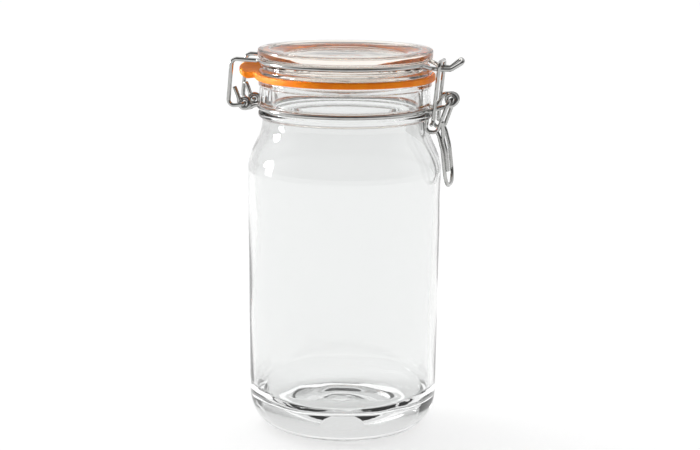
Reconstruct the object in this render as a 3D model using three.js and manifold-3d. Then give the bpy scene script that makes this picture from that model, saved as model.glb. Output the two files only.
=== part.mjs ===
// Clip-top glass storage jar: a blown and pressed clear glass body, a pressed glass lid,
// a flat rubber sealing ring with a pull tab, and a four-piece bent wire closure.
// Millimetres. +Z is up, the origin is on the jar's axis where it stands.
// +X points to the latch, -X to the hinge.

import * as THREE from 'three';
import { mergeVertices } from 'three/addons/utils/BufferGeometryUtils.js';
import Module from 'manifold-3d';

const wasm = await Module();
wasm.setup();

// Body of the jar
const BODY_RADIUS = 57.5;
const BODY_TOP = 157;
const BASE_RADIUS = 56.4;
const HEEL_RUN = 16;
const HEEL_RISE = 22;
const PUNT_RISE = 8.4;
const PUNT_TOP = 8;
const FOOT_RING = 4;
const WALL = 4.0;
const WALL_TAPER = 0.2;
const FLOOR_TOP = 15.2;
const FLOOR_DISH = 1.6;
const FLOOR_FILLET = 11;

// Neck and mouth of the jar
const WAIST_RADIUS = 49.1;
const WAIST_HEIGHT = 185;
const BEAD_RADIUS = 51.4;
const BEAD_HEIGHT = 189.2;
const BEAD_HALF = 1.6;
const COLLAR_RADIUS = 50.6;
const COLLAR_BOTTOM = 195.6;
const RIM_RADIUS = 51.2;
const RIM_BOTTOM = 205.5;
const RIM_TOP = 209.6;
const MOUTH_RADIUS = 43.5;

// Sealing ring
const SEAL_GAP = 0.3;
const SEAL_THICKNESS = 3.0;
const SEAL_INNER = 43.9;
const SEAL_OUTER = 53.2;
const TAB_REACH = 64.4;
const TAB_WIDTH = 19;
const TAB_LIFT = 0.24;
const TAB_ROLL = 0.24;

// Lid
const LID_RADIUS = 51.7;
const LID_TOP = 227.7;
const LID_BOTTOM = RIM_TOP + SEAL_THICKNESS + 2 * SEAL_GAP;
const LID_RIM_BOTTOM = 222.3;
const LID_WAIST = 50.0;
const LID_FLANGE = 51.2;
const LID_RECESS = 3.4;
const LID_RECESS_RADIUS = 41;
const PLUG_RADIUS = 42.2;
const PLUG_TIP_RADIUS = 40.2;
const PLUG_BOTTOM = 206.6;
const UNDERSIDE = 218.6;

// Wires
const RING_WIRE = 2.6;
const LATCH_WIRE = 2.3;
const NECK_RING = { radius: 50.7, height: 193.4 };
const LID_RING = { radius: 50.2, height: 220.3 };

// Closure: places seen from the side, as distance from the jar's axis and height
const HINGE = { x: -58.6, z: 194.2 };
const HINGE_LEG = 15.3;
const HINGE_AXLE = 6.4;
const HINGE_EYE_RADIUS = 3.0;
const HINGE_EYE_SIDE = 8.5;
const PRONG_SHIFT = 3.6;
const COIL = { x: 63.9, z: 199.7, radius: 3.1, side: 3.4, turns: 1.5 };
const BAR = { x: 57.8, z: 222.0 };
const PIN = { x: 54.4, z: 186.2 };
const STIRRUP_SIDE = 8.7;
const PIN_SIDE = 13.5;
const LEVER_SIDE = 11.6;
const CRADLE_BEND = 3.3;
const ELBOW = { x: 60.9, z: 171.5, bend: 30 };
const GRIP = { x: 63.6, z: 149.5, bend: 8.5 };

// How finely round shapes are cut
const TURN_STEPS = 52;
const WIRE_SIDES = 8;
const BEND_STEPS = 4;

const v2 = (x, y) => new THREE.Vector2(x, y);
const v3 = (x, y, z) => new THREE.Vector3(x, y, z);

// Merges the shared corners of a closed shape, drops empty triangles and turns its faces out.
function closedSolid(source) {
  const bare = source.clone();
  bare.deleteAttribute('normal');
  bare.deleteAttribute('uv');
  const merged = mergeVertices(bare, 1e-4);
  const place = merged.getAttribute('position');
  const index = merged.getIndex().array;
  const corner = [v3(0, 0, 0), v3(0, 0, 0), v3(0, 0, 0)];
  const kept = [];
  let volume = 0;
  for (let i = 0; i < index.length; i += 3) {
    const [a, b, c] = [index[i], index[i + 1], index[i + 2]];
    if (a === b || b === c || c === a) {
      continue;
    }
    kept.push(a, b, c);
    corner[0].fromBufferAttribute(place, a);
    corner[1].fromBufferAttribute(place, b);
    corner[2].fromBufferAttribute(place, c);
    volume += corner[0].dot(corner[1].cross(corner[2]));
  }
  if (volume < 0) {
    kept.reverse();
  }
  merged.setIndex(kept);
  return merged;
}

// Gives a closed shape to the solid library.
function toManifold(geometry) {
  const solid = closedSolid(geometry);
  return new wasm.Manifold(new wasm.Mesh({
    numProp: 3,
    vertProperties: new Float32Array(solid.getAttribute('position').array),
    triVerts: new Uint32Array(solid.getIndex().array),
  }));
}

// Takes a solid back from the library as a three.js geometry.
function fromManifold(manifold) {
  const mesh = manifold.getMesh();
  const geometry = new THREE.BufferGeometry();
  geometry.setAttribute('position', new THREE.BufferAttribute(new Float32Array(mesh.vertProperties), 3));
  geometry.setIndex(new THREE.BufferAttribute(new Uint32Array(mesh.triVerts), 1));
  return geometry;
}

// Turns an outline of radius and height about the jar's axis.
function turned(outline) {
  const lathe = new THREE.LatheGeometry(outline, TURN_STEPS);
  lathe.rotateX(Math.PI / 2);
  return closedSolid(lathe);
}

// Points on a quarter or other stretch of an ellipse, from one angle to another.
function arc(cx, cy, rx, ry, from, to, steps) {
  return Array.from({ length: steps + 1 }, (_, i) => {
    const angle = from + ((to - from) * i) / steps;
    return v2(cx + rx * Math.cos(angle), cy + ry * Math.sin(angle));
  });
}

// A smooth dome from a height near the axis to another further out.
function domed(fromRadius, fromHeight, toRadius, toHeight, steps) {
  return easedRun(fromHeight, fromRadius, toHeight, toRadius, steps).map((p) => v2(p.y, p.x));
}

// A smooth S-shaped run between two radii at two heights.
function easedRun(fromRadius, fromHeight, toRadius, toHeight, steps) {
  return Array.from({ length: steps + 1 }, (_, i) => {
    const t = i / steps;
    const eased = (1 - Math.cos(Math.PI * t)) / 2;
    return v2(fromRadius + (toRadius - fromRadius) * eased, fromHeight + (toHeight - fromHeight) * t);
  });
}

// Rounds each corner of a bent wire's line with an arc of the given bend radius.
function bentLine(corners, bend) {
  const line = [corners[0].clone()];
  for (let i = 1; i < corners.length - 1; i += 1) {
    const into = corners[i].clone().sub(corners[i - 1]);
    const away = corners[i + 1].clone().sub(corners[i]);
    const shortest = Math.min(into.length(), away.length());
    into.normalize();
    away.normalize();
    const half = into.angleTo(away) / 2;
    const radius = Math.min(corners[i].bend ?? bend, (0.48 * shortest) / Math.tan(half));
    const reach = radius * Math.tan(half);
    const first = corners[i].clone().addScaledVector(into, -reach);
    const inward = away.clone().addScaledVector(into, -away.dot(into)).normalize();
    const centre = first.clone().addScaledVector(inward, radius);
    for (let k = 0; k <= BEND_STEPS; k += 1) {
      const angle = (2 * half * k) / BEND_STEPS;
      line.push(centre.clone()
        .addScaledVector(inward, -radius * Math.cos(angle))
        .addScaledVector(into, radius * Math.sin(angle)));
    }
  }
  line.push(corners[corners.length - 1].clone());
  return line;
}

// A corner with a bend radius of its own.
function corner(x, y, z, bend) {
  const point = v3(x, y, z);
  point.bend = bend;
  return point;
}

// The same points on the other side of the jar, in reverse order.
function mirrored(points) {
  return points.map((p) => {
    const other = v3(p.x, -p.y, p.z);
    other.bend = p.bend;
    return other;
  }).reverse();
}

// Round wire along a line, one section at each of its points.
function wire(line, diameter) {
  const path = new THREE.CatmullRomCurve3(line, false, 'centripetal');
  path.getUtoTmapping = (u) => u;
  const section = new THREE.Shape(Array.from({ length: WIRE_SIDES }, (_, i) => {
    const angle = (2 * Math.PI * (i + 0.5)) / WIRE_SIDES;
    return v2((diameter / 2) * Math.cos(angle), (diameter / 2) * Math.sin(angle));
  }));
  const tube = new THREE.ExtrudeGeometry(section, { steps: line.length - 1, extrudePath: path });
  return closedSolid(tube);
}

// Points round one side of a wire ring, at equal angles.
function ringPoints(ring, fromAngle, toAngle) {
  const steps = Math.round((Math.abs(toAngle - fromAngle) * TURN_STEPS) / (2 * Math.PI));
  return Array.from({ length: steps + 1 }, (_, i) => {
    const angle = fromAngle + ((toAngle - fromAngle) * i) / steps;
    return v3(ring.radius * Math.cos(angle), ring.radius * Math.sin(angle), ring.height);
  });
}

// Clear glass body: punted base, thick heel, straight wall, sloping shoulder, waist,
// bead, groove for the neck wire, collar and flat rim, with the hollow inside.
function jarGeometry() {
  const footRadius = BASE_RADIUS - HEEL_RUN;
  const innerRadius = BODY_RADIUS - WALL;
  const innerBase = BASE_RADIUS - WALL - WALL_TAPER;
  const outline = [
    v2(0, PUNT_RISE),
    ...domed(PUNT_TOP, PUNT_RISE, footRadius - FOOT_RING, 0, 4),
    ...arc(footRadius, HEEL_RISE, HEEL_RUN, HEEL_RISE, -Math.PI / 2, 0, 6),
    ...easedRun(BODY_RADIUS, BODY_TOP, WAIST_RADIUS, WAIST_HEIGHT, 7),
    v2(WAIST_RADIUS, BEAD_HEIGHT - BEAD_HALF - 1),
    v2(BEAD_RADIUS - 0.5, BEAD_HEIGHT - BEAD_HALF + 0.2),
    v2(BEAD_RADIUS, BEAD_HEIGHT - 0.4),
    v2(BEAD_RADIUS, BEAD_HEIGHT + 0.4),
    v2(BEAD_RADIUS - 0.5, BEAD_HEIGHT + BEAD_HALF - 0.2),
    v2(WAIST_RADIUS - 0.1, BEAD_HEIGHT + BEAD_HALF + 0.8),
    v2(WAIST_RADIUS - 0.1, COLLAR_BOTTOM - 1.2),
    v2(COLLAR_RADIUS, COLLAR_BOTTOM),
    v2(COLLAR_RADIUS, RIM_BOTTOM),
    v2(RIM_RADIUS, RIM_BOTTOM + 1),
    v2(RIM_RADIUS, RIM_TOP - 1),
    v2(RIM_RADIUS - 0.8, RIM_TOP),
    v2(MOUTH_RADIUS + 0.8, RIM_TOP),
    v2(MOUTH_RADIUS, RIM_TOP - 1),
    ...easedRun(MOUTH_RADIUS, WAIST_HEIGHT + 2, innerRadius, BODY_TOP - 3, 6),
    ...arc(innerBase - FLOOR_FILLET, FLOOR_TOP + FLOOR_DISH + FLOOR_FILLET, FLOOR_FILLET, FLOOR_FILLET,
      0, -Math.PI / 2, 4),
    v2(0, FLOOR_TOP),
  ];
  return turned(outline);
}

// Pressed glass lid: raised rim round a dished top, groove for the lid wire,
// flange that presses on the seal, and a tapered plug that centres it in the mouth.
function lidGeometry() {
  const grooveFloor = LID_RING.radius - RING_WIRE / 2 - SEAL_GAP;
  const outline = [
    v2(0, UNDERSIDE),
    v2(27, UNDERSIDE - 0.8),
    v2(33, UNDERSIDE - 3),
    v2(36, PLUG_BOTTOM + 3),
    v2(37.4, PLUG_BOTTOM + 0.4),
    v2(38.6, PLUG_BOTTOM),
    v2(PLUG_TIP_RADIUS, PLUG_BOTTOM + 0.6),
    v2(PLUG_RADIUS, LID_BOTTOM - 1),
    v2(PLUG_RADIUS + 1, LID_BOTTOM),
    v2(LID_FLANGE - 0.6, LID_BOTTOM),
    v2(LID_FLANGE, LID_BOTTOM + 0.6),
    v2(LID_FLANGE, LID_BOTTOM + 1.6),
    v2(LID_WAIST, LID_BOTTOM + 3.6),
    v2(LID_WAIST, LID_RING.height - RING_WIRE / 2 - 0.8),
    v2(grooveFloor, LID_RING.height - 0.6),
    v2(grooveFloor, LID_RIM_BOTTOM - 0.5),
    v2(LID_RADIUS - 0.6, LID_RIM_BOTTOM),
    v2(LID_RADIUS, LID_RIM_BOTTOM + 0.8),
    ...arc(LID_RADIUS - 1.4, LID_TOP - 1.4, 1.4, 1.4, 0, Math.PI / 2, 2),
    v2(LID_RECESS_RADIUS + 4, LID_TOP),
    ...easedRun(LID_RECESS_RADIUS + 2, LID_TOP - 0.2, LID_RECESS_RADIUS - 5, LID_TOP - LID_RECESS, 3),
    v2(0, LID_TOP - LID_RECESS + 0.4),
  ];
  return turned(outline);
}

// Flat rubber ring with a round-ended pull tab that leans up and a little aside between
// the hinge legs.
function sealGeometry() {
  const bottom = RIM_TOP + SEAL_GAP;
  const top = bottom + SEAL_THICKNESS;
  const ring = turned([
    v2(SEAL_INNER, bottom),
    v2(SEAL_OUTER - 0.5, bottom),
    v2(SEAL_OUTER, bottom + 0.5),
    v2(SEAL_OUTER, top - 0.5),
    v2(SEAL_OUTER - 0.5, top),
    v2(SEAL_INNER, top),
    v2(SEAL_INNER, bottom),
  ]);
  const root = SEAL_OUTER - 1.2;
  const half = TAB_WIDTH / 2;
  const length = TAB_REACH - root;
  const shape = new THREE.Shape([
    v2(0, -half - 1.5),
    v2(4, -half),
    ...arc(length - half * 0.7, 0, half * 0.7, half, -Math.PI / 2, Math.PI / 2, 10),
    v2(4, half),
    v2(0, half + 1.5),
  ]);
  const tab = new THREE.ExtrudeGeometry(shape, { depth: SEAL_THICKNESS - 0.4, bevelEnabled: false });
  tab.translate(0, 0, 0.2 - SEAL_THICKNESS / 2);
  tab.rotateX(-TAB_ROLL);
  tab.rotateY(-TAB_LIFT);
  tab.translate(root, 0, bottom + SEAL_THICKNESS / 2);
  tab.rotateZ(Math.PI);
  return fromManifold(toManifold(ring).add(toManifold(tab)));
}

// Neck wire: a hook and prong at each side of the hinge, the ring in the groove under
// the collar, and at the latch a coil that carries the lever.
function neckWireGeometry() {
  const leave = Math.asin(8 / NECK_RING.radius);
  const nearRing = ringPoints(NECK_RING, Math.PI + leave + 0.04, 2 * Math.PI - leave);
  const farRing = mirrored(nearRing);
  const eye = ringEye(-1);
  const coil = latchCoil();
  const intoCoil = bentLine([
    nearRing[nearRing.length - 1],
    v3(52.6, -5.6, NECK_RING.height),
    v3(57.2, -4.2, NECK_RING.height + 1.4),
    coil[0],
  ], 4);
  const outOfCoil = bentLine([
    coil[coil.length - 1],
    v3(58.4, 3.7, COIL.z + COIL.radius - 0.4),
    v3(54.6, 4.6, NECK_RING.height + 1.8),
    farRing[0],
  ], 3);
  return wire([
    ...eye,
    ...nearRing,
    ...intoCoil.slice(1, -1),
    ...coil,
    ...outOfCoil.slice(1, -1),
    ...farRing,
    ...mirrored(eye),
  ], RING_WIRE);
}

// One end of the neck wire, from the cut tip of its prong, a turn and a quarter round the
// hinge axle and in towards the groove.
function ringEye(side) {
  const turn = Array.from({ length: 16 }, (_, i) => {
    const angle = Math.PI + (2.5 * Math.PI * i) / 15;
    return v3(
      HINGE.x + HINGE_EYE_RADIUS * Math.cos(angle),
      side * (HINGE_EYE_SIDE + PRONG_SHIFT * (1 - i / 15)),
      HINGE.z + HINGE_EYE_RADIUS * Math.sin(angle),
    );
  });
  const prong = [
    v3(HINGE.x - 6.0, side * (HINGE_EYE_SIDE + PRONG_SHIFT), HINGE.z + 10.0),
    v3(HINGE.x - 3.4, side * (HINGE_EYE_SIDE + PRONG_SHIFT), HINGE.z + 3.4),
  ];
  const inward = [
    v3(HINGE.x + 2.6, side * HINGE_EYE_SIDE, HINGE.z - 2.8),
    v3(HINGE.x + 5.0, side * (HINGE_EYE_SIDE + 0.3), HINGE.z - 1.6),
  ];
  return [...prong, ...turn, ...inward];
}

// The coil at the latch: a turn and a half, wound from its underside on the near side
// to its top on the far side.
function latchCoil() {
  const steps = 15;
  return Array.from({ length: steps + 1 }, (_, i) => {
    const t = i / steps;
    const angle = -Math.PI / 2 + 2 * Math.PI * COIL.turns * t;
    return v3(
      COIL.x + COIL.radius * Math.cos(angle),
      COIL.side * (2 * t - 1),
      COIL.z + COIL.radius * Math.sin(angle),
    );
  });
}

// Lid wire: axle stubs and two legs at the hinge, the ring in the lid's groove, and a
// hooked tongue at the latch.
function lidWireGeometry() {
  const leave = Math.asin(14 / LID_RING.radius);
  const start = Math.asin(HINGE_LEG / LID_RING.radius) + 0.07;
  const nearRing = ringPoints(LID_RING, Math.PI + start, 2 * Math.PI - leave);
  const leg = bentLine([
    v3(HINGE.x, -HINGE_AXLE, HINGE.z),
    corner(HINGE.x, -HINGE_LEG, HINGE.z, 1.8),
    corner(HINGE.x - 9.0, -HINGE_LEG, HINGE.z - 1.6, 3.6),
    corner(HINGE.x - 6.4, -HINGE_LEG, LID_RING.height + 0.6, 3.2),
    corner(1.2 - LID_RING.radius, -HINGE_LEG, LID_RING.height, 3.0),
    nearRing[0],
  ], 3);
  const tongue = bentLine([
    nearRing[nearRing.length - 1],
    v3(52.6, -9.9, LID_RING.height - 1.7),
    v3(57.0, -2.4, LID_RING.height - 3.1),
    v3(63.4, -1.8, LID_RING.height - 3.0),
    corner(70.8, -1.8, LID_RING.height + 1.7, 1.9),
    corner(68.6, 1.8, LID_RING.height + 3.2, 1.9),
    v3(62.4, 1.8, LID_RING.height - 1.9),
    v3(56.2, 2.4, LID_RING.height - 2.0),
    v3(52.2, 9.9, LID_RING.height - 1.0),
    mirrored(nearRing)[0],
  ], 4);
  return wire([
    ...leg.slice(0, -1),
    ...nearRing,
    ...tongue.slice(1, -1),
    ...mirrored(nearRing),
    ...mirrored(leg.slice(0, -1)),
  ], RING_WIRE);
}

// Stirrup: a bar that lies in the tongue's saddle, two legs, and pins turned outwards.
function stirrupGeometry() {
  const side = [
    v3(PIN.x, -PIN_SIDE, PIN.z),
    corner(PIN.x, -STIRRUP_SIDE, PIN.z, 2),
    corner(BAR.x, -STIRRUP_SIDE, BAR.z, 3),
  ];
  return wire(bentLine([...side, ...mirrored(side)], 3), LATCH_WIRE);
}

// Lever: one wire makes the axle, the two short arms and the open cradles for the stirrup's
// pins, a second one the U-shaped handle under the cradles, and a strand lies beside its near arm.
function leverGeometry() {
  const shortArm = [
    v3(PIN.x - 2.8, -LEVER_SIDE, PIN.z + 3.6),
    corner(PIN.x - 3.6, -LEVER_SIDE, PIN.z - 4.4, CRADLE_BEND),
    corner(PIN.x + 3.2, -LEVER_SIDE, PIN.z - 4.6, CRADLE_BEND),
    corner(COIL.x, -LEVER_SIDE, COIL.z, 2.4),
  ];
  const handleArm = [
    v3(PIN.x + 2.6, -LEVER_SIDE, PIN.z - 3.2),
    corner(PIN.x + 4.2, -LEVER_SIDE, PIN.z - 6.2, 8),
    corner(ELBOW.x, -LEVER_SIDE, ELBOW.z, ELBOW.bend),
    corner(GRIP.x, -LEVER_SIDE, GRIP.z, GRIP.bend),
  ];
  const strand = [
    v3(COIL.x - 3.4, -LEVER_SIDE, COIL.z - 11.4),
    corner(ELBOW.x + 0.4, -LEVER_SIDE, ELBOW.z + 6.5, 12),
    corner(ELBOW.x + 2.1, -LEVER_SIDE, ELBOW.z, ELBOW.bend),
    v3(GRIP.x + 0.8, -LEVER_SIDE, GRIP.z + 9.6),
  ];
  const lines = [
    bentLine([...shortArm, ...mirrored(shortArm)], 3),
    bentLine([...handleArm, ...mirrored(handleArm)], 3),
    bentLine(strand, 3),
  ];
  const solids = lines.map((line) => toManifold(wire(line, LATCH_WIRE)));
  return fromManifold(solids.reduce((whole, next) => whole.add(next)));
}

function clearGlass() {
  return new THREE.MeshStandardMaterial({ color: 0xeef3f1, roughness: 0.03, metalness: 0.0 });
}

function orangeRubber() {
  return new THREE.MeshStandardMaterial({ color: 0xf07c12, roughness: 0.55, metalness: 0.0 });
}

function brightWire() {
  return new THREE.MeshStandardMaterial({ color: 0xb9b9b4, roughness: 0.28, metalness: 1.0 });
}

function piece(name, geometry, material) {
  const mesh = new THREE.Mesh(geometry, material);
  mesh.name = name;
  return mesh;
}

const jar = new THREE.Group();
jar.add(piece('jar_glass', jarGeometry(), clearGlass()));
jar.add(piece('lid_glass', lidGeometry(), clearGlass()));
jar.add(piece('seal_ring', sealGeometry(), orangeRubber()));
jar.add(piece('neck_wire', neckWireGeometry(), brightWire()));
jar.add(piece('lid_wire', lidWireGeometry(), brightWire()));
jar.add(piece('stirrup_wire', stirrupGeometry(), brightWire()));
jar.add(piece('lever_wire', leverGeometry(), brightWire()));

export default jar;
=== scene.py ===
import math

import bmesh
import bpy
from mathutils import Matrix, Vector, noise


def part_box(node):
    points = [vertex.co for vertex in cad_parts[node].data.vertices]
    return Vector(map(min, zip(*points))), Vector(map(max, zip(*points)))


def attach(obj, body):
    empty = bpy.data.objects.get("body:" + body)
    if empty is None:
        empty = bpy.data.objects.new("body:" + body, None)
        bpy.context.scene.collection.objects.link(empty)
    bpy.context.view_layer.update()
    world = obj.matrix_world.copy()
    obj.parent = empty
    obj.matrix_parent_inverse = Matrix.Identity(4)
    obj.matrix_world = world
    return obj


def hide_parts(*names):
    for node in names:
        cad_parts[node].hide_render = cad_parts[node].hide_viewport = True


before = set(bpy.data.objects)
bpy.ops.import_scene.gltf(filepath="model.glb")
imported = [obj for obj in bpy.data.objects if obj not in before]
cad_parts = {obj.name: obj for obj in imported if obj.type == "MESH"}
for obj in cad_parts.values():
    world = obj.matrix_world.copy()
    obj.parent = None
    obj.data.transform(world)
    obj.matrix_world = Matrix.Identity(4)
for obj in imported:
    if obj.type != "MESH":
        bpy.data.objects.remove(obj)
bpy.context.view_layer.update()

# The glass body: soda-lime glass blown in a mould, with a thick rounded heel, a domed underside
# inside a flat foot ring, and a moulded neck with a bead and a groove for its wire. The inside is
# shaped by air alone, so its wall and floor are slightly wavy. Radii and heights are in mm.
MM = 0.001
BODY_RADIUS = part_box("jar_glass")[1].x / MM
RIM_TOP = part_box("jar_glass")[1].z / MM
BODY_TOP = 157.0
BASE_RADIUS = 56.4
HEEL_RUN = 16.0
HEEL_RISE = 22.0
FOOT_RING = 4.0
PUNT_RISE = 8.4
PUNT_TOP = 8.0
WALL = 4.0
INNER_TAPER = 0.2
FLOOR_TOP = 15.2
FLOOR_DISH = 1.6
FLOOR_FILLET = 11.0
WAIST_RADIUS = 49.1
WAIST_HEIGHT = 185.0
BEAD_RADIUS = 51.4
BEAD_HEIGHT = 189.2
NECK_GROOVE = 49.0
COLLAR_RADIUS = 50.6
COLLAR_BOTTOM = 195.6
RIM_RADIUS = 51.2
RIM_BOTTOM = 205.5
MOUTH_RADIUS = 43.5
TURN_STEPS = 288
OUTLINE_STEP = 1.6
GLASS_WAVE = 0.32
WAVE_SIZE = 17.0
WAVE_STRETCH = 0.35
FLOOR_CLEAR = 3.0
FLOOR_FADE = 9.0
SHOULDER_FADE = 20.0
FLOOR_WAVE = 0.5
FLOOR_MIDDLE = 6.0
FLOOR_DETAIL = 1.3
RING_HEIGHT = 0.45
RING_PITCH = 2.1
RING_WANDER = 2.2
RING_DETAIL = 0.8
SMALLEST = 1e-4


def rounded(corners, arc_steps=6):
    """An outline of (radius, height, fillet) corners with each corner rounded to its fillet."""
    points = [Vector(corners[0][:2])]
    for before, here, after in zip(corners, corners[1:], corners[2:]):
        spot = Vector(here[:2])
        into = spot - Vector(before[:2])
        away = Vector(after[:2]) - spot
        half = into.angle(away, 0.0) / 2
        fillet = min(here[2], 0.45 * min(into.length, away.length) / max(math.tan(half), 1e-6))
        if fillet < 0.01 or half < 0.01:
            points.append(spot)
            continue
        into.normalize()
        away.normalize()
        first = spot - into * fillet * math.tan(half)
        inward = (away - into * away.dot(into)).normalized()
        for k in range(arc_steps + 1):
            turn = 2 * half * k / arc_steps
            points.append(first + inward * fillet * (1 - math.cos(turn)) + into * fillet * math.sin(turn))
    points.append(Vector(corners[-1][:2]))
    return points


def eased_run(start, end, steps):
    """Corners along a smooth S-shaped run between two (radius, height) places."""
    run = []
    for k in range(steps + 1):
        share = k / steps
        eased = (1 - math.cos(math.pi * share)) / 2
        run.append((start[0] + (end[0] - start[0]) * eased, start[1] + (end[1] - start[1]) * share, 0))
    return run


def ellipse_run(centre, radii, start, end, steps):
    """Corners along a stretch of an ellipse, between two angles in degrees."""
    run = []
    for k in range(steps + 1):
        angle = math.radians(start + (end - start) * k / steps)
        run.append((centre[0] + radii[0] * math.cos(angle), centre[1] + radii[1] * math.sin(angle), 0))
    return run


def evened(points, step):
    """The outline with its long stretches cut into shorter ones."""
    fine = [points[0]]
    for a, b in zip(points, points[1:]):
        if (b - a).length < SMALLEST:
            continue
        parts = max(1, math.ceil((b - a).length / step))
        fine.extend(a.lerp(b, k / parts) for k in range(1, parts + 1))
    return fine


def finished_mesh(name, builder):
    """A smooth-shaded mesh from a builder, its faces turned outwards."""
    bmesh.ops.recalc_face_normals(builder, faces=builder.faces)
    mesh = bpy.data.meshes.new(name)
    builder.to_mesh(mesh)
    builder.free()
    mesh.shade_smooth()
    return mesh


def closed_mesh(name, rows):
    """A closed mesh from rows of points; a row of one point is a pole."""
    builder = bmesh.new()
    made = [[builder.verts.new(point) for point in row] for row in rows]
    for low, high in zip(made, made[1:]):
        count = max(len(low), len(high))
        for k in range(count):
            following = (k + 1) % count
            if len(low) == 1:
                builder.faces.new((low[0], high[following], high[k]))
            elif len(high) == 1:
                builder.faces.new((low[k], low[following], high[0]))
            else:
                builder.faces.new((low[k], low[following], high[following], high[k]))
    return finished_mesh(name, builder)


def turned(name, outline, wave=None):
    """A solid turned about the jar's axis; wave(radius, angle, height) moves a point out and up."""
    rows = []
    for radius, height in outline:
        if radius < SMALLEST:
            rows.append([Vector((0, 0, height)) * MM])
            continue
        row = []
        for k in range(TURN_STEPS):
            angle = 2 * math.pi * k / TURN_STEPS
            out, up = wave(radius, angle, height) if wave else (0, 0)
            row.append(Vector((
                (radius + out) * math.cos(angle), (radius + out) * math.sin(angle), height + up)) * MM)
        rows.append(row)
    return closed_mesh(name, rows)


def body_outline():
    """Outside of the jar from the middle of its base to the rim, then the inside down to the floor."""
    foot = BASE_RADIUS - HEEL_RUN
    inner = BODY_RADIUS - WALL
    inner_base = BASE_RADIUS - WALL - INNER_TAPER
    fillet_height = FLOOR_TOP + FLOOR_DISH + FLOOR_FILLET
    outside = [
        (0, PUNT_RISE, 0),
        *[(r, h, 0) for h, r, _ in eased_run((PUNT_RISE, PUNT_TOP), (0, foot - FOOT_RING), 24)],
        *ellipse_run((foot, HEEL_RISE), (HEEL_RUN, HEEL_RISE), -90, 0, 40),
        *eased_run((BODY_RADIUS, BODY_TOP), (WAIST_RADIUS, WAIST_HEIGHT), 40),
        (WAIST_RADIUS, BEAD_HEIGHT - 2.0, 0.9),
        (BEAD_RADIUS, BEAD_HEIGHT - 1.3, 1.1),
        (BEAD_RADIUS, BEAD_HEIGHT + 1.1, 1.1),
        (NECK_GROOVE, BEAD_HEIGHT + 2.0, 0.9),
        (NECK_GROOVE, COLLAR_BOTTOM - 1.4, 1.2),
        (COLLAR_RADIUS, COLLAR_BOTTOM - 0.2, 1.2),
        (COLLAR_RADIUS, RIM_BOTTOM, 0.8),
        (RIM_RADIUS, RIM_BOTTOM + 0.7, 0.6),
        (RIM_RADIUS, RIM_TOP, 1.0),
    ]
    inside = [
        (MOUTH_RADIUS, RIM_TOP, 1.2),
        *eased_run((MOUTH_RADIUS, WAIST_HEIGHT + 2), (inner, BODY_TOP - 3), 40),
        *ellipse_run((inner_base - FLOOR_FILLET, fillet_height), (FLOOR_FILLET, FLOOR_FILLET), 0, -90, 30),
        (0, FLOOR_TOP, 0),
    ]
    return evened(rounded(outside + inside), OUTLINE_STEP)


def body_wave(radius, angle, height):
    """How far the free-blown inside leaves its true shape: broad ripples on the wall, and rings
    and dents on the floor."""
    inner = BODY_RADIUS - WALL
    above_floor = height - FLOOR_TOP
    on_wall = inner - 3 < radius < inner + 0.2 and above_floor > FLOOR_CLEAR and height < BODY_TOP
    on_floor = -1 < above_floor < 8 and radius < inner - 3
    out, up = 0.0, 0.0
    flat = Vector((radius * math.cos(angle), radius * math.sin(angle), height * WAVE_STRETCH))
    place = flat / WAVE_SIZE
    if on_wall:
        fade = min(1.0, (above_floor - FLOOR_CLEAR) / FLOOR_FADE, (BODY_TOP - height) / SHOULDER_FADE)
        out = GLASS_WAVE * noise.noise(place) * fade
    if on_floor:
        wander = RING_WANDER * noise.noise(place * RING_DETAIL)
        rings = RING_HEIGHT * math.sin(radius / RING_PITCH + wander)
        fade = min(1.0, radius / FLOOR_MIDDLE)
        up = FLOOR_WAVE * (noise.noise(place * FLOOR_DETAIL) + rings) * fade
    return out, up


def socket_in(group, name, kind, value):
    """Adds a named input with its usual value to a node group."""
    socket = group.interface.new_socket(name, in_out="INPUT", socket_type=kind)
    socket.default_value = value


def node(tree, kind, **values):
    """Adds a node; values go to its settings or, by socket name with _ for a space, to its inputs."""
    made = tree.nodes.new(kind)
    for key, value in values.items():
        if hasattr(made, key):
            setattr(made, key, value)
        else:
            made.inputs[key.replace("_", " ")].default_value = value
    return made


def wave_group():
    """Broad waves and finer ripples of glass and rubber that took their shape in a mould."""
    group = bpy.data.node_groups.new("moulded waves", "ShaderNodeTree")
    socket_in(group, "Broad Scale", "NodeSocketFloat", 40.0)
    socket_in(group, "Fine Scale", "NodeSocketFloat", 300.0)
    socket_in(group, "Fine Share", "NodeSocketFloat", 0.2)
    group.interface.new_socket("Height", in_out="OUTPUT", socket_type="NodeSocketFloat")
    given = node(group, "NodeGroupInput")
    result = node(group, "NodeGroupOutput")
    place = node(group, "ShaderNodeTexCoord")
    broad = node(group, "ShaderNodeTexNoise", Detail=1.0, Roughness=0.4)
    fine = node(group, "ShaderNodeTexNoise", Detail=2.0, Roughness=0.5)
    both = node(group, "ShaderNodeMix", data_type="FLOAT")
    link = group.links.new
    link(place.outputs["Object"], broad.inputs["Vector"])
    link(place.outputs["Object"], fine.inputs["Vector"])
    link(given.outputs["Broad Scale"], broad.inputs["Scale"])
    link(given.outputs["Fine Scale"], fine.inputs["Scale"])
    link(given.outputs["Fine Share"], both.inputs[0])
    link(broad.outputs["Fac"], both.inputs[2])
    link(fine.outputs["Fac"], both.inputs[3])
    link(both.outputs[0], result.inputs["Height"])
    return group


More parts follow.
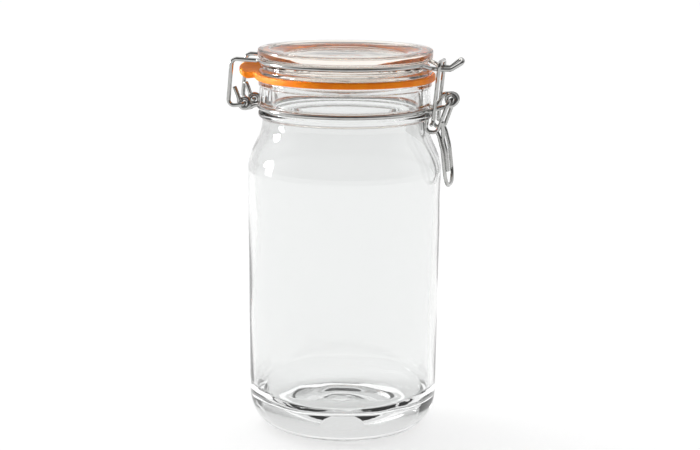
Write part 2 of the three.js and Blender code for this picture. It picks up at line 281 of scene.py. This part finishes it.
def handling_group():
    """Faint smears and dust from handling, as a mask from low to high."""
    group = bpy.data.node_groups.new("handling marks", "ShaderNodeTree")
    socket_in(group, "Scale", "NodeSocketFloat", 30.0)
    socket_in(group, "Low", "NodeSocketFloat", 0.0)
    socket_in(group, "High", "NodeSocketFloat", 0.1)
    group.interface.new_socket("Mask", in_out="OUTPUT", socket_type="NodeSocketFloat")
    given = node(group, "NodeGroupInput")
    result = node(group, "NodeGroupOutput")
    place = node(group, "ShaderNodeTexCoord")
    smear = node(group, "ShaderNodeTexNoise", Detail=5.0, Roughness=0.65, Distortion=0.8)
    spread = node(group, "ShaderNodeMapRange", From_Min=0.42, From_Max=0.72)
    link = group.links.new
    link(place.outputs["Object"], smear.inputs["Vector"])
    link(given.outputs["Scale"], smear.inputs["Scale"])
    link(smear.outputs["Fac"], spread.inputs["Value"])
    link(given.outputs["Low"], spread.inputs["To Min"])
    link(given.outputs["High"], spread.inputs["To Max"])
    link(spread.outputs["Result"], result.inputs["Mask"])
    return group


moulded_waves = wave_group()
handling_marks = handling_group()


def effect(tree, group, **values):
    """Places a node group in a material with its own values."""
    placed = tree.nodes.new("ShaderNodeGroup")
    placed.node_tree = group
    for key, value in values.items():
        placed.inputs[key.replace("_", " ")].default_value = value
    return placed


def plain_material(name):
    """A new material with its principled shader, ready for its finish."""
    material = bpy.data.materials.new(name)
    material.use_nodes = True
    return material, material.node_tree, material.node_tree.nodes["Principled BSDF"]


GLASS_IOR = 1.52
RIPPLE_SCALE = 260.0
RIPPLE_SHARE = 0.012
SMEAR_SCALE = 26.0
SMEAR_ROUGHNESS = 0.02


def glass_material(name, tint, wave_depth, broad_scale):
    """Clear fire-polished glass: wavy by a few hundredths of a millimetre, with faint smears."""
    material, tree, shader = plain_material(name)
    shader.inputs["Base Color"].default_value = (*tint, 1)
    shader.inputs["Metallic"].default_value = 0.0
    shader.inputs["IOR"].default_value = GLASS_IOR
    shader.inputs["Transmission Weight"].default_value = 1.0
    waves = effect(tree, moulded_waves, Broad_Scale=broad_scale, Fine_Scale=RIPPLE_SCALE,
                   Fine_Share=RIPPLE_SHARE)
    smears = effect(tree, handling_marks, Scale=SMEAR_SCALE, Low=0.0, High=SMEAR_ROUGHNESS)
    bump = node(tree, "ShaderNodeBump", Strength=1.0, Distance=wave_depth * MM)
    tree.links.new(waves.outputs["Height"], bump.inputs["Height"])
    tree.links.new(bump.outputs["Normal"], shader.inputs["Normal"])
    tree.links.new(smears.outputs["Mask"], shader.inputs["Roughness"])
    return material


def placed_piece(name, mesh, material, body, cad_node):
    """Puts a finished piece in the scene in place of its CAD node."""
    mesh.materials.append(material)
    piece = bpy.data.objects.new(name, mesh)
    bpy.context.scene.collection.objects.link(piece)
    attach(piece, body)
    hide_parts(cad_node)
    return piece


BODY_TINT = (0.895, 0.902, 0.899)
body_glass = glass_material("clear jar glass", BODY_TINT, 0.5, 22.0)
placed_piece("glass_body", turned("glass_body", body_outline(), body_wave), body_glass,
             "jar", "jar_glass")

# The lid: pressed glass with a raised rim round a dished top, a groove that holds its wire,
# a flange that squeezes the rubber ring, and a tapered plug that centres it in the mouth.
LID_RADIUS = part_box("lid_glass")[1].x / MM
LID_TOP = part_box("lid_glass")[1].z / MM
PLUG_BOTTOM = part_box("lid_glass")[0].z / MM
LID_BOTTOM = 213.2
LID_RIM_BOTTOM = 222.3
LID_WAIST = 50.0
LID_FLANGE = 51.2
LID_RECESS = 3.4
LID_RECESS_RADIUS = 41.0
PLUG_RADIUS = 42.2
PLUG_TIP_RADIUS = 40.2
UNDERSIDE = 218.6
LID_GROOVE = 48.6
LID_WIRE_HEIGHT = 220.3
LID_WAVE = 0.10
LID_WAVE_SIZE = 14.0
LID_WAVE_EDGE = 11.0
LID_WAVE_FADE = 12.0


def lid_outline():
    """Underside of the lid from its middle, out over the plug and flange, and up to the dished top."""
    corners = [
        (0, UNDERSIDE, 0),
        (27, UNDERSIDE - 0.8, 8),
        (33.4, UNDERSIDE - 3.2, 4),
        (36.4, PLUG_BOTTOM + 2.4, 3),
        (37.8, PLUG_BOTTOM, 1.2),
        (PLUG_TIP_RADIUS, PLUG_BOTTOM, 0.9),
        (PLUG_RADIUS, LID_BOTTOM, 0.8),
        (LID_FLANGE, LID_BOTTOM, 0.7),
        (LID_FLANGE, LID_BOTTOM + 2.0, 1.0),
        (LID_WAIST, LID_BOTTOM + 3.4, 1.2),
        (LID_WAIST, LID_WIRE_HEIGHT - 2.2, 0.7),
        (LID_GROOVE, LID_WIRE_HEIGHT - 1.0, 0.6),
        (LID_GROOVE, LID_RIM_BOTTOM - 0.5, 0.4),
        (LID_RADIUS, LID_RIM_BOTTOM + 0.2, 0.9),
        (LID_RADIUS, LID_TOP, 1.4),
        *eased_run((LID_RECESS_RADIUS + 3.5, LID_TOP), (LID_RECESS_RADIUS - 5, LID_TOP - LID_RECESS), 24),
        (0, LID_TOP - LID_RECESS + 0.4, 0),
    ]
    return evened(rounded(corners), OUTLINE_STEP)


def lid_wave(radius, angle, height):
    """Slight unevenness of the pressed faces."""
    place = Vector((radius * math.cos(angle), radius * math.sin(angle), height)) / LID_WAVE_SIZE
    fade = max(0.0, min(1.0, (LID_RECESS_RADIUS - LID_WAVE_EDGE - radius) / LID_WAVE_FADE))
    return (0.0, LID_WAVE * noise.noise(place) * fade)


# The peach tint of the lid glass is a painted reflection of the orange seal seen through it; the glass
# itself is clear.
LID_SEAL_REFLECTION_TINT = (0.968, 0.918, 0.855)
lid_glass = glass_material("lid glass with painted seal reflection", LID_SEAL_REFLECTION_TINT, 0.4, 30.0)
placed_piece("glass_lid", turned("glass_lid", lid_outline(), lid_wave), lid_glass,
             "lid", "lid_glass")

# The sealing ring: natural rubber, moulded orange, squeezed flat between the rim and the lid.
# Its round-ended tab, pulled to let air in, leans out and up between the legs of the hinge.
SQUEEZE_BELOW = 0.02
SQUEEZE_ABOVE = 0.03
SEAL_BOTTOM = RIM_TOP - SQUEEZE_BELOW
SEAL_TOP = LID_BOTTOM + SQUEEZE_ABOVE
SEAL_INNER = 43.9
SEAL_OUTER = 53.2
SEAL_ROUND = 0.7
TAB_REACH = 64.4
TAB_WIDTH = 19.0
TAB_LIFT = 0.24
TAB_ROLL = 0.24
TAB_ROLL_RUN = 6.0
TAB_ROOT = 1.2
TAB_STRETCH = 3.0
TAB_FLARE = 1.6
TAB_BLUNTNESS = 0.7


def seal_section():
    """Section of the ring as (radius, height) points, its edges rounded."""
    middle = (SEAL_BOTTOM + SEAL_TOP) / 2
    corners = [
        (SEAL_INNER, middle, 0),
        (SEAL_INNER, SEAL_BOTTOM, SEAL_ROUND),
        (SEAL_OUTER, SEAL_BOTTOM, SEAL_ROUND),
        (SEAL_OUTER, SEAL_TOP, SEAL_ROUND),
        (SEAL_INNER, SEAL_TOP, SEAL_ROUND),
        (SEAL_INNER, middle, 0),
    ]
    return evened(rounded(corners), OUTLINE_STEP)[:-1]


def seal_mesh():
    """The ring with its tab, both from the same section, the tab drawn out of its outer edge."""
    section = seal_section()
    root = SEAL_OUTER - TAB_ROOT
    builder = bmesh.new()
    rings = []
    for k in range(TURN_STEPS * 2):
        angle = 2 * math.pi * k / (TURN_STEPS * 2)
        from_hinge = abs(math.remainder(angle - math.pi, 2 * math.pi)) * SEAL_OUTER
        reach = tab_reach(from_hinge, TAB_WIDTH / 2, TAB_REACH - SEAL_OUTER)
        ring = []
        for radius, height in section:
            share = max(0.0, (radius - root + TAB_STRETCH) / (SEAL_OUTER - root + TAB_STRETCH))
            out = radius + reach * share
            past = max(0.0, out - root)
            side = math.sin(angle) * out
            lift = past * math.tan(TAB_LIFT) * (1 if reach > 0 else 0)
            roll = side * math.tan(TAB_ROLL) * min(1.0, past / TAB_ROLL_RUN) * (1 if reach > 0 else 0)
            ring.append(builder.verts.new(Vector((
                out * math.cos(angle), out * math.sin(angle), height + lift + roll)) * MM))
        rings.append(ring)
    for low, high in zip(rings, rings[1:] + rings[:1]):
        for k in range(len(section)):
            following = (k + 1) % len(section)
            builder.faces.new((low[k], high[k], high[following], low[following]))
    return finished_mesh("rubber_ring", builder)


def tab_reach(offset, half, length):
    """How far the tab stands out of the ring at a distance along the ring from its middle."""
    if offset > half + 3:
        return 0.0
    if offset > half - 0.5:
        share = (half + 3 - offset) / 3.5
        return TAB_FLARE * share * share
    round_part = math.sqrt(max(0.0, 1 - (offset / (half - 0.2)) ** 2))
    return TAB_FLARE + (length - TAB_FLARE) * round_part ** TAB_BLUNTNESS


RUBBER_ORANGE = (0.90, 0.21, 0.001)
RUBBER_PALE = (1.0, 0.31, 0.003)
RUBBER_GLOW = 0.15
RUBBER_GLOW_REACH = (1.0, 0.35, 0.05)
RUBBER_SHEEN = 0.18


def rubber_material():
    """Satin orange rubber with faint mottling, fine moulded grain and a soft glow of thin rubber."""
    material, tree, shader = plain_material("orange rubber")
    mottle = effect(tree, handling_marks, Scale=120.0, Low=0.0, High=1.0)
    rough = effect(tree, handling_marks, Scale=60.0, Low=0.38, High=0.52)
    grain = effect(tree, moulded_waves, Broad_Scale=160.0, Fine_Scale=1600.0, Fine_Share=0.4)
    colour = node(tree, "ShaderNodeMix", data_type="RGBA")
    colour.inputs[6].default_value = (*RUBBER_ORANGE, 1)
    colour.inputs[7].default_value = (*RUBBER_PALE, 1)
    bump = node(tree, "ShaderNodeBump", Strength=0.6, Distance=0.05 * MM)
    shader.inputs["Subsurface Weight"].default_value = RUBBER_GLOW
    shader.inputs["Specular IOR Level"].default_value = RUBBER_SHEEN
    shader.inputs["Subsurface Radius"].default_value = RUBBER_GLOW_REACH
    shader.inputs["Subsurface Scale"].default_value = 1.5 * MM
    tree.links.new(mottle.outputs["Mask"], colour.inputs[0])
    tree.links.new(colour.outputs[2], shader.inputs["Base Color"])
    tree.links.new(rough.outputs["Mask"], shader.inputs["Roughness"])
    tree.links.new(grain.outputs["Height"], bump.inputs["Height"])
    tree.links.new(bump.outputs["Normal"], shader.inputs["Normal"])
    return material


placed_piece("rubber_ring", seal_mesh(), rubber_material(), "lid", "seal_ring")

# The neck wire: bright drawn steel wire bent in one piece. It lies in the groove under the collar,
# turns round the hinge axle and ends in a cut prong at each side, and is coiled at the latch.
RING_WIRE = 2.6
NECK_RING = {"radius": 50.7, "height": 193.4}
HINGE = {"x": -58.6, "z": 194.2}
HINGE_EYE_RADIUS = 3.0
HINGE_EYE_SIDE = 8.5
PRONG_SHIFT = 3.6
COIL = {"x": 63.9, "z": 199.7, "radius": 3.1, "side": 3.4, "turns": 1.5}
WIRE_SIDES = 20
WIRE_STEP = 0.45
CUT_END = 0.84
BEND_STEPS = 10
EYE_STEPS = 45
EYE_SWEEP = 2.5 * math.pi
COIL_STEPS = 48


def bend_at(x, y, z, radius=None):
    """A corner of a wire's line, with a bend radius of its own where one is given."""
    return Vector((x, y, z)), radius


def bent_line(corners, usual_bend):
    """The line of a bent wire: each corner is rounded to its bend radius."""
    line = [corners[0][0].copy()]
    for before, here, after in zip(corners, corners[1:], corners[2:]):
        into = here[0] - before[0]
        away = after[0] - here[0]
        shortest = min(into.length, away.length)
        half = into.angle(away) / 2
        radius = min(here[1] or usual_bend, 0.48 * shortest / math.tan(half))
        into.normalize()
        away.normalize()
        first = here[0] - into * radius * math.tan(half)
        inward = (away - into * away.dot(into)).normalized()
        for k in range(BEND_STEPS + 1):
            turn = 2 * half * k / BEND_STEPS
            line.append(first + inward * radius * (1 - math.cos(turn)) + into * radius * math.sin(turn))
    line.append(corners[-1][0].copy())
    return line


def other_side(points):
    """The same points on the far side of the jar, in reverse order."""
    return [Vector((p.x, -p.y, p.z)) for p in reversed(points)]


def ring_points(ring, start, end):
    """Points round one side of a wire ring."""
    steps = max(2, round(abs(end - start) * ring["radius"] / 1.5))
    points = []
    for k in range(steps + 1):
        angle = start + (end - start) * k / steps
        points.append(Vector((
            ring["radius"] * math.cos(angle), ring["radius"] * math.sin(angle), ring["height"])))
    return points


def smooth_line(points, step):
    """A centripetal curve through the points, cut into even short steps."""
    kept = [points[0]]
    for point in points[1:]:
        if (point - kept[-1]).length > 0.05:
            kept.append(point)
    ends = [kept[0] * 2 - kept[1], *kept, kept[-1] * 2 - kept[-2]]
    line = []
    for a, b, c, d in zip(ends, ends[1:], ends[2:], ends[3:]):
        gaps = [max(SMALLEST, (q - p).length ** 0.5) for p, q in ((a, b), (b, c), (c, d))]
        leave = ((b - a) / gaps[0] - (c - a) / (gaps[0] + gaps[1]) + (c - b) / gaps[1]) * gaps[1]
        arrive = ((c - b) / gaps[1] - (d - b) / (gaps[1] + gaps[2]) + (d - c) / gaps[2]) * gaps[1]
        parts = max(1, math.ceil((c - b).length / step))
        for k in range(parts):
            t = k / parts
            line.append(
                b * (2 * t ** 3 - 3 * t ** 2 + 1) + leave * (t ** 3 - 2 * t ** 2 + t)
                + c * (3 * t ** 2 - 2 * t ** 3) + arrive * (t ** 3 - t ** 2))
    line.append(kept[-1])
    return line


def wire_rows(points, diameter):
    """Rows of points of a round wire along a line, with slightly rounded cut ends."""
    line = smooth_line(points, WIRE_STEP)
    heading = (line[1] - line[0]).normalized()
    across = heading.orthogonal().normalized()
    rows = [[line[0] * MM]]
    for k, place in enumerate(line):
        ahead = line[min(k + 1, len(line) - 1)] - line[max(k - 1, 0)]
        new_heading = ahead.normalized()
        across = heading.rotation_difference(new_heading) @ across
        heading = new_heading
        across = (across - heading * across.dot(heading)).normalized()
        up = heading.cross(across)
        from_end = min(k, len(line) - 1 - k)
        radius = diameter / 2 * (CUT_END if from_end == 0 else 1.0)
        rows.append([
            (place + (across * math.cos(a) + up * math.sin(a)) * radius) * MM
            for a in (2 * math.pi * n / WIRE_SIDES for n in range(WIRE_SIDES))
        ])
    rows.append([line[-1] * MM])
    return rows


def ring_eye(side):
    """One end of the neck wire: its prong, the turn round the hinge axle and the way in."""
    prong = [
        Vector((HINGE["x"] - 6.0, side * (HINGE_EYE_SIDE + PRONG_SHIFT), HINGE["z"] + 10.0)),
        Vector((HINGE["x"] - 3.4, side * (HINGE_EYE_SIDE + PRONG_SHIFT), HINGE["z"] + 3.4)),
    ]
    turn = []
    for k in range(EYE_STEPS + 1):
        angle = math.pi + EYE_SWEEP * k / EYE_STEPS
        turn.append(Vector((
            HINGE["x"] + HINGE_EYE_RADIUS * math.cos(angle),
            side * (HINGE_EYE_SIDE + PRONG_SHIFT * (1 - k / EYE_STEPS)),
            HINGE["z"] + HINGE_EYE_RADIUS * math.sin(angle))))
    inward = [
        Vector((HINGE["x"] + 2.6, side * HINGE_EYE_SIDE, HINGE["z"] - 2.8)),
        Vector((HINGE["x"] + 5.0, side * (HINGE_EYE_SIDE + 0.3), HINGE["z"] - 1.6)),
    ]
    return [*prong, *turn, *inward]


def latch_coil():
    """The coil at the latch, wound from its underside on the near side to its top on the far side."""
    points = []
    for k in range(COIL_STEPS + 1):
        share = k / COIL_STEPS
        angle = -math.pi / 2 + 2 * math.pi * COIL["turns"] * share
        points.append(Vector((
            COIL["x"] + COIL["radius"] * math.cos(angle),
            COIL["side"] * (2 * share - 1),
            COIL["z"] + COIL["radius"] * math.sin(angle))))
    return points


def neck_wire_line():
    """The whole line of the neck wire, from one prong to the other."""
    leave = math.asin(8 / NECK_RING["radius"])
    near = ring_points(NECK_RING, math.pi + leave + 0.04, 2 * math.pi - leave)
    far = other_side(near)
    coil = latch_coil()
    level = NECK_RING["height"]
    into_coil = bent_line([
        (near[-1], None),
        bend_at(52.6, -5.6, level),
        bend_at(57.2, -4.2, level + 1.4),
        (coil[0], None),
    ], 4)
    out_of_coil = bent_line([
        (coil[-1], None),
        bend_at(58.4, 3.7, COIL["z"] + COIL["radius"] - 0.4),
        bend_at(54.6, 4.6, level + 1.8),
        (far[0], None),
    ], 3)
    eye = ring_eye(-1)
    return [*eye, *near, *into_coil[1:-1], *coil, *out_of_coil[1:-1], *far, *other_side(eye)]


WIRE_STEEL = (0.50, 0.50, 0.49)
WIRE_DULL = (0.35, 0.35, 0.34)


def wire_material():
    """Bright drawn steel wire: fine marks, duller patches and a slightly uneven surface."""
    material, tree, shader = plain_material("bright steel wire")
    dull = effect(tree, handling_marks, Scale=180.0, Low=0.0, High=0.7)
    rough = effect(tree, handling_marks, Scale=420.0, Low=0.09, High=0.24)
    ripple = effect(tree, moulded_waves, Broad_Scale=250.0, Fine_Scale=2400.0, Fine_Share=0.35)
    colour = node(tree, "ShaderNodeMix", data_type="RGBA")
    colour.inputs[6].default_value = (*WIRE_STEEL, 1)
    colour.inputs[7].default_value = (*WIRE_DULL, 1)
    bump = node(tree, "ShaderNodeBump", Strength=0.5, Distance=0.05 * MM)
    shader.inputs["Metallic"].default_value = 1.0
    tree.links.new(dull.outputs["Mask"], colour.inputs[0])
    tree.links.new(colour.outputs[2], shader.inputs["Base Color"])
    tree.links.new(rough.outputs["Mask"], shader.inputs["Roughness"])
    tree.links.new(ripple.outputs["Height"], bump.inputs["Height"])
    tree.links.new(bump.outputs["Normal"], shader.inputs["Normal"])
    return material


steel_wire = wire_material()
placed_piece("ring_wire", closed_mesh("ring_wire", wire_rows(neck_wire_line(), RING_WIRE)), steel_wire,
             "jar", "neck_wire")

# The lid wire: one bent steel wire. Its axle stubs turn in the eyes of the neck wire, two legs
# rise to the ring in the lid's groove, and its hooked tongue at the latch holds the stirrup.
LID_RING = {"radius": 50.2, "height": LID_WIRE_HEIGHT}
HINGE_LEG = 15.3
HINGE_AXLE = 6.4


def lid_wire_line():
    """The whole line of the lid wire, from one axle stub to the other."""
    leave = math.asin(14 / LID_RING["radius"])
    start = math.asin(HINGE_LEG / LID_RING["radius"]) + 0.07
    level = LID_RING["height"]
    near = ring_points(LID_RING, math.pi + start, 2 * math.pi - leave)
    far = other_side(near)
    leg = bent_line([
        bend_at(HINGE["x"], -HINGE_AXLE, HINGE["z"]),
        bend_at(HINGE["x"], -HINGE_LEG, HINGE["z"], 1.8),
        bend_at(HINGE["x"] - 9.0, -HINGE_LEG, HINGE["z"] - 1.6, 3.6),
        bend_at(HINGE["x"] - 6.4, -HINGE_LEG, level + 0.6, 3.2),
        bend_at(1.2 - LID_RING["radius"], -HINGE_LEG, level, 3.0),
        (near[0], None),
    ], 3)
    tongue = bent_line([
        (near[-1], None),
        bend_at(52.6, -9.9, level - 1.7),
        bend_at(57.0, -2.4, level - 3.1),
        bend_at(63.4, -1.8, level - 3.0),
        bend_at(70.8, -1.8, level + 1.7, 1.9),
        bend_at(68.6, 1.8, level + 3.2, 1.9),
        bend_at(62.4, 1.8, level - 1.9),
        bend_at(56.2, 2.4, level - 2.0),
        bend_at(52.2, 9.9, level - 1.0),
        (far[0], None),
    ], 4)
    return [*leg[:-1], *near, *tongue[1:-1], *far, *other_side(leg[:-1])]


placed_piece("bail_wire", closed_mesh("bail_wire", wire_rows(lid_wire_line(), RING_WIRE)), steel_wire,
             "lid", "lid_wire")

# The stirrup: a thinner wire bent to a U. Its bar lies in the tongue's saddle, and its ends are
# turned outwards as pins that lie in the lever's cradles.
LATCH_WIRE = 2.3
BAR = {"x": 57.8, "z": 222.0}
PIN = {"x": 54.4, "z": 186.2}
STIRRUP_SIDE = 8.7
PIN_SIDE = 13.5


def mirrored_corners(corners):
    """The same corners with their bends on the far side of the jar, in reverse order."""
    return [(Vector((p.x, -p.y, p.z)), bend) for p, bend in reversed(corners)]


stirrup_side = [
    bend_at(PIN["x"], -PIN_SIDE, PIN["z"]),
    bend_at(PIN["x"], -STIRRUP_SIDE, PIN["z"], 2),
    bend_at(BAR["x"], -STIRRUP_SIDE, BAR["z"], 3),
]
stirrup_line = bent_line([*stirrup_side, *mirrored_corners(stirrup_side)], 3)
placed_piece("stirrup", closed_mesh("stirrup", wire_rows(stirrup_line, LATCH_WIRE)), steel_wire,
             "stirrup", "stirrup_wire")

# The lever: one wire makes the axle through the coil, the two short arms and the open cradles for
# the stirrup's pins. The U-shaped handle is brazed under them, with a strand beside its near arm.
LEVER_SIDE = 11.6
CRADLE_BEND = 3.3
ELBOW = {"x": 60.9, "z": 171.5, "bend": 30}
GRIP = {"x": 63.6, "z": 149.5, "bend": 8.5}


def arms_line():
    """The axle, the short arms and the cradles, from the tip of one cradle to the other."""
    arm = [
        bend_at(PIN["x"] - 2.8, -LEVER_SIDE, PIN["z"] + 3.6),
        bend_at(PIN["x"] - 3.6, -LEVER_SIDE, PIN["z"] - 4.4, CRADLE_BEND),
        bend_at(PIN["x"] + 3.2, -LEVER_SIDE, PIN["z"] - 4.6, CRADLE_BEND),
        bend_at(COIL["x"], -LEVER_SIDE, COIL["z"], 2.4),
    ]
    return bent_line([*arm, *mirrored_corners(arm)], 3)


def handle_line():
    """The U-shaped handle, from under one cradle to under the other."""
    arm = [
        bend_at(PIN["x"] + 2.6, -LEVER_SIDE, PIN["z"] - 3.2),
        bend_at(PIN["x"] + 4.2, -LEVER_SIDE, PIN["z"] - 6.2, 8),
        bend_at(ELBOW["x"], -LEVER_SIDE, ELBOW["z"], ELBOW["bend"]),
        bend_at(GRIP["x"], -LEVER_SIDE, GRIP["z"], GRIP["bend"]),
    ]
    return bent_line([*arm, *mirrored_corners(arm)], 3)


strand = [
    bend_at(COIL["x"] - 3.4, -LEVER_SIDE, COIL["z"] - 11.4),
    bend_at(ELBOW["x"] + 0.4, -LEVER_SIDE, ELBOW["z"] + 6.5, 12),
    bend_at(ELBOW["x"] + 2.1, -LEVER_SIDE, ELBOW["z"], ELBOW["bend"]),
    bend_at(GRIP["x"] + 0.8, -LEVER_SIDE, GRIP["z"] + 9.6),
]
lever_wires = {
    "lever_arms": arms_line(),
    "lever_handle": handle_line(),
    "lever_strand": bent_line(strand, 3),
}
for wire_name, wire_line in lever_wires.items():
    placed_piece(wire_name, closed_mesh(wire_name, wire_rows(wire_line, LATCH_WIRE)), steel_wire,
                 "lever", "lever_wire")

# The floor: a wide sheet of matt white paper that the jar stands on.
FLOOR_SIZE = 14.0
PAPER_WHITE = (0.80, 0.80, 0.80, 1)
PAPER_GLOW = 0.57
floor_mesh = bpy.data.meshes.new("floor")
corners = [(-1, -1), (1, -1), (1, 1), (-1, 1)]
floor_mesh.from_pydata([(x * FLOOR_SIZE, y * FLOOR_SIZE, 0) for x, y in corners], [], [(0, 1, 2, 3)])
paper, paper_tree, paper_shader = plain_material("white paper")
paper_shader.inputs["Base Color"].default_value = PAPER_WHITE
paper_shader.inputs["Emission Color"].default_value = (1, 1, 1, 1)
paper_shader.inputs["Emission Strength"].default_value = PAPER_GLOW
paper_shader.inputs["Roughness"].default_value = 0.9
paper_shader.inputs["Specular IOR Level"].default_value = 0.1
floor_mesh.materials.append(paper)
floor = bpy.data.objects.new("floor", floor_mesh)
bpy.context.scene.collection.objects.link(floor)

# The light: a white studio all round, darker where the camera stands, a large soft box high on
# the left that throws the pale shadow to the right, and a small narrow one lower down on the
# left for the bright spots on the shoulder.
CAMERA_TURN = math.radians(13)
SKY_STRENGTH = 0.84
DARK_SIDE = 0.12
WALLS_FROM = -0.30
DARK_FROM = 0.62


def studio_world():
    """White walls and ceiling, with a dark stretch behind the camera."""
    world = bpy.data.worlds.new("studio")
    bpy.context.scene.world = world
    world.use_nodes = True
    tree = world.node_tree
    ground = tree.nodes["Background"]
    ground.inputs["Strength"].default_value = SKY_STRENGTH
    direction = node(tree, "ShaderNodeTexCoord")
    toward = node(tree, "ShaderNodeVectorMath", operation="DOT_PRODUCT")
    toward.inputs[1].default_value = (math.sin(CAMERA_TURN), -math.cos(CAMERA_TURN), 0.0)
    ramp = node(tree, "ShaderNodeMapRange", interpolation_type="SMOOTHSTEP", From_Min=WALLS_FROM,
                From_Max=DARK_FROM, To_Min=1.0, To_Max=DARK_SIDE)
    tree.links.new(direction.outputs["Generated"], toward.inputs[0])
    tree.links.new(toward.outputs["Value"], ramp.inputs["Value"])
    tree.links.new(ramp.outputs["Result"], ground.inputs["Color"])


def soft_box(name, place, size, power, spread, aim_height):
    """A square soft light that points at the jar, its beam narrowed to an angle in degrees."""
    light = bpy.data.lights.new(name, "AREA")
    light.shape = "SQUARE"
    light.size = size
    light.energy = power
    light.spread = math.radians(spread)
    lamp = bpy.data.objects.new(name, light)
    lamp.location = place
    toward_jar = Vector((0, 0, aim_height)) - Vector(place)
    lamp.rotation_euler = toward_jar.to_track_quat("-Z", "Y").to_euler()
    bpy.context.scene.collection.objects.link(lamp)


studio_world()
soft_box("key_light", place=(-1.1, 0.45, 1.5), size=0.9, power=4.0, spread=180, aim_height=0.1)
soft_box("side_light", place=(-1.25, 0.05, 0.45), size=0.3, power=0.5, spread=16, aim_height=0.25)
bpy.context.scene.view_settings.view_transform = "Standard"

# The camera: a long lens a little above the lid, looking slightly down on the near side.
LENS = 91.93
SENSOR_WIDTH = 36.0
VIEW_LIMIT = 100.0
DISTANCE = 1.05
HEIGHT = 0.335505
PITCH = 0.201
ROLL = 0.009
ASIDE = 0.003551
camera_data = bpy.data.cameras.new("camera")
camera_data.lens = LENS
camera_data.sensor_width = SENSOR_WIDTH
camera_data.clip_end = VIEW_LIMIT
camera = bpy.data.objects.new("camera", camera_data)
turn = Matrix.Rotation(CAMERA_TURN, 4, "Z")
stand = Matrix.Translation((ASIDE, -DISTANCE, HEIGHT))
aim = Matrix.Rotation(math.pi / 2 - PITCH, 4, "X") @ Matrix.Rotation(ROLL, 4, "Z")
camera.matrix_world = turn @ stand @ aim
bpy.context.scene.collection.objects.link(camera)
bpy.context.scene.camera = camera
